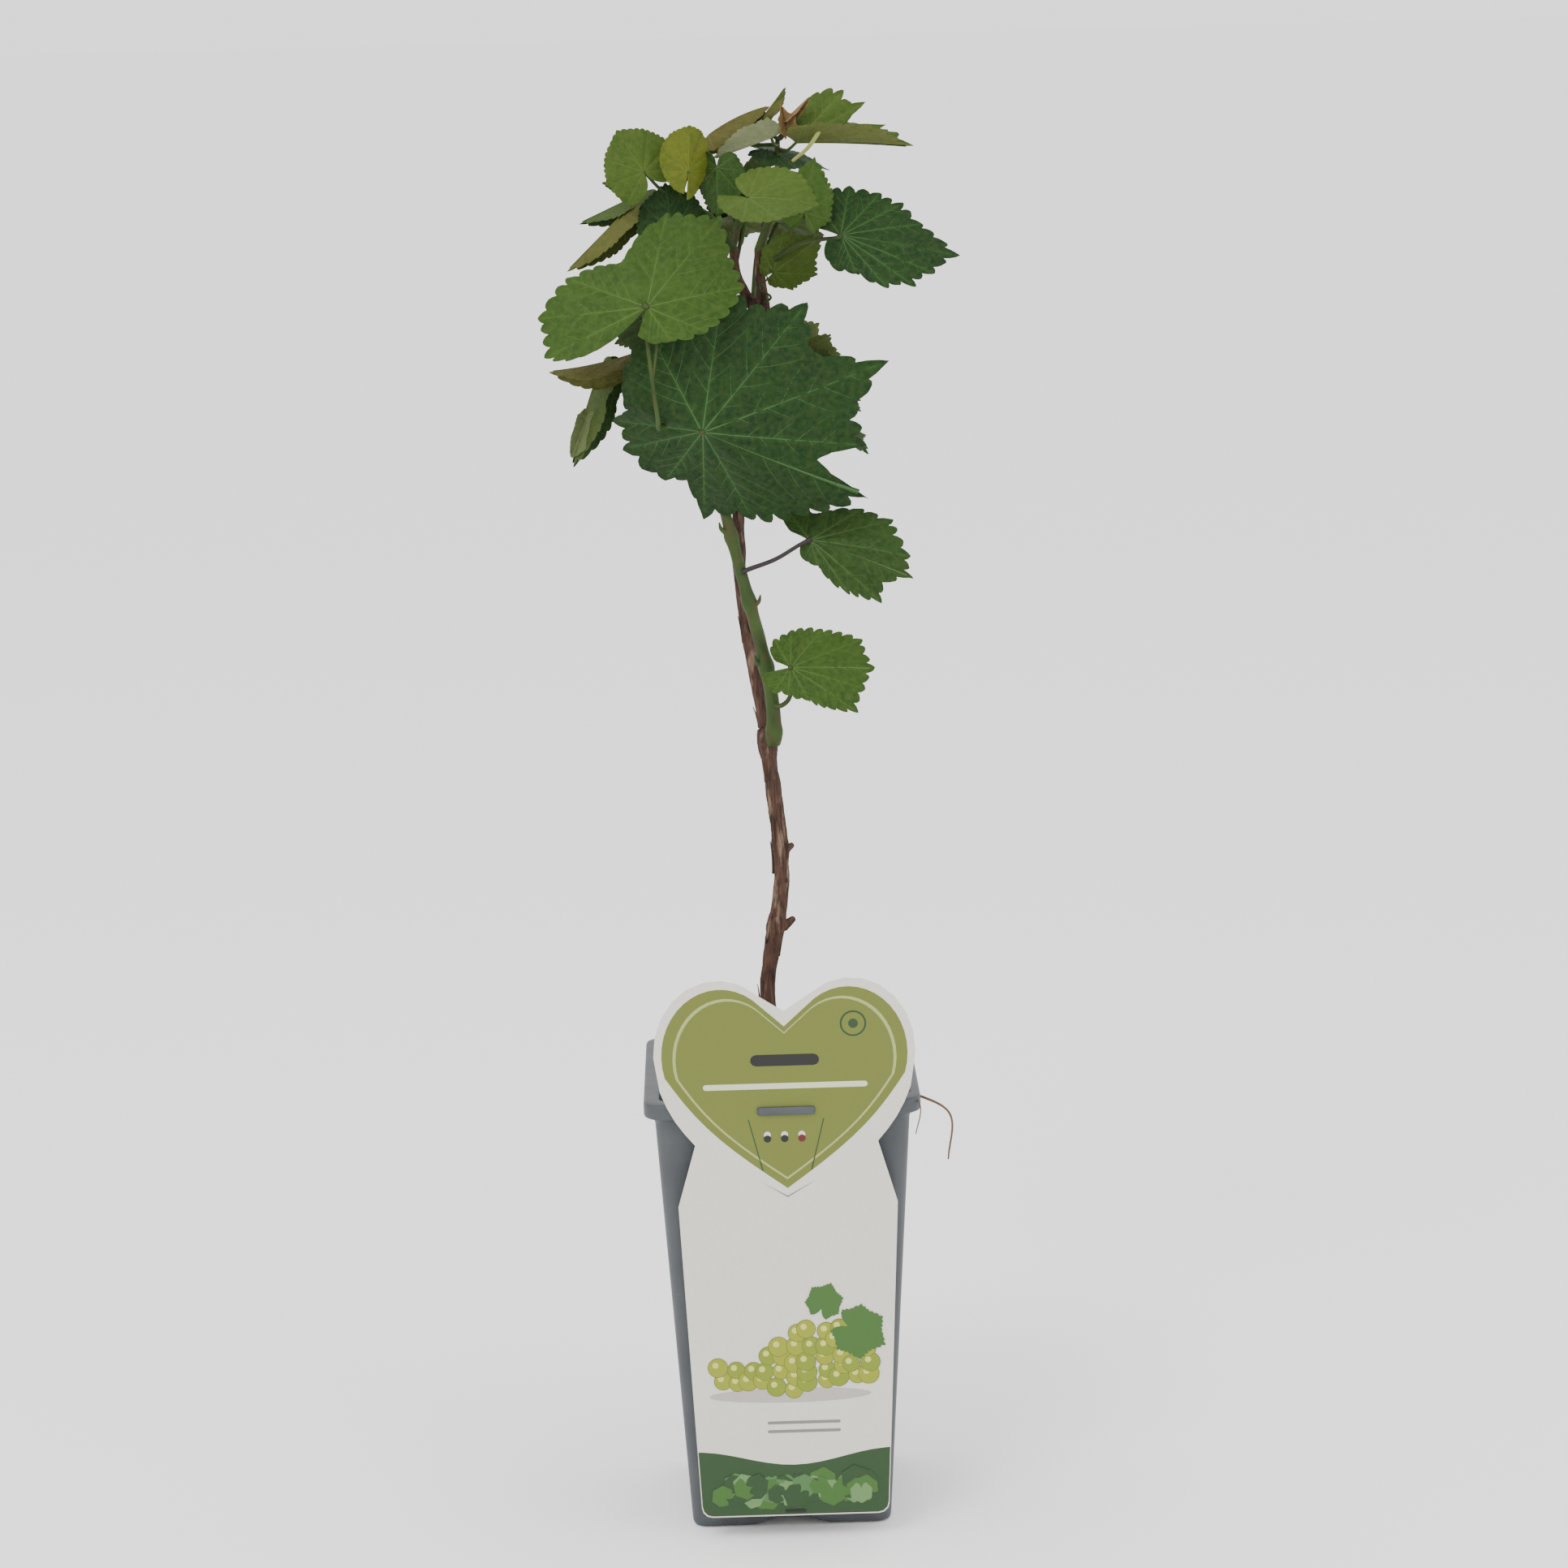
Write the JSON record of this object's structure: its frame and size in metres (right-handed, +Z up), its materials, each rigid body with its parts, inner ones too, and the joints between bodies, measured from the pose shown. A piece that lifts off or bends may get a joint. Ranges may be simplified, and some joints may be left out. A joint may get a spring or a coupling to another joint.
{
  "type": "potted grapevine",
  "caption": "Young grapevine with lobed leaves on a thin woody stem, in a deep square nursery pot with a heart-topped hanging plant label.",
  "frame": {"origin": "middle of the pot's flat underside, at ground level", "axes": "+Z up the plant, +X to its right seen from the front, -Y towards the front where the label hangs"},
  "size_m": [0.1539, 0.1082, 0.5471],
  "materials": {
    "pot_plastic": "satin slate grey plastic",
    "soil": "dark crumbly potting soil",
    "label_card": "coated card with plain printed shapes",
    "bark": "thin peeling bark",
    "green_stem": "green young stem",
    "dark_leaf": "matt mature leaf",
    "bright_leaf": "matt light green leaf",
    "olive_leaf": "matt young or rolled leaf"
  },
  "bodies": {
    "root": {"pot": "pot_plastic", "potting_soil": "soil", "label": "label_card", "woody_stem": "bark", "upper_cane": "bark", "left_top_stem": "bark", "right_top_stem": "bark", "middle_right_leaf_stalk": "bark", "green_shoot": "green_stem", "centre_leaf_stalk": "green_stem", "upper_left_leaf_stalk": "green_stem", "right_leaf_stalk": "green_stem", "low_right_leaf_stalk": "green_stem", "left_leaf_stalk": "green_stem", "centre_leaf": "dark_leaf", "right_leaf": "dark_leaf", "middle_right_leaf": "dark_leaf", "left_hanging_leaf": "dark_leaf", "back_left_leaves": "dark_leaf", "back_right_leaves": "dark_leaf", "upper_left_leaf": "bright_leaf", "low_right_leaf": "bright_leaf", "top_left_leaves": "bright_leaf", "top_middle_leaves": "bright_leaf", "top_right_leaves": "bright_leaf", "back_top_leaves": "bright_leaf", "left_rolled_leaf": "olive_leaf", "far_left_leaves": "olive_leaf", "young_tip_leaves": "olive_leaf"}
  },
  "joints": []
}
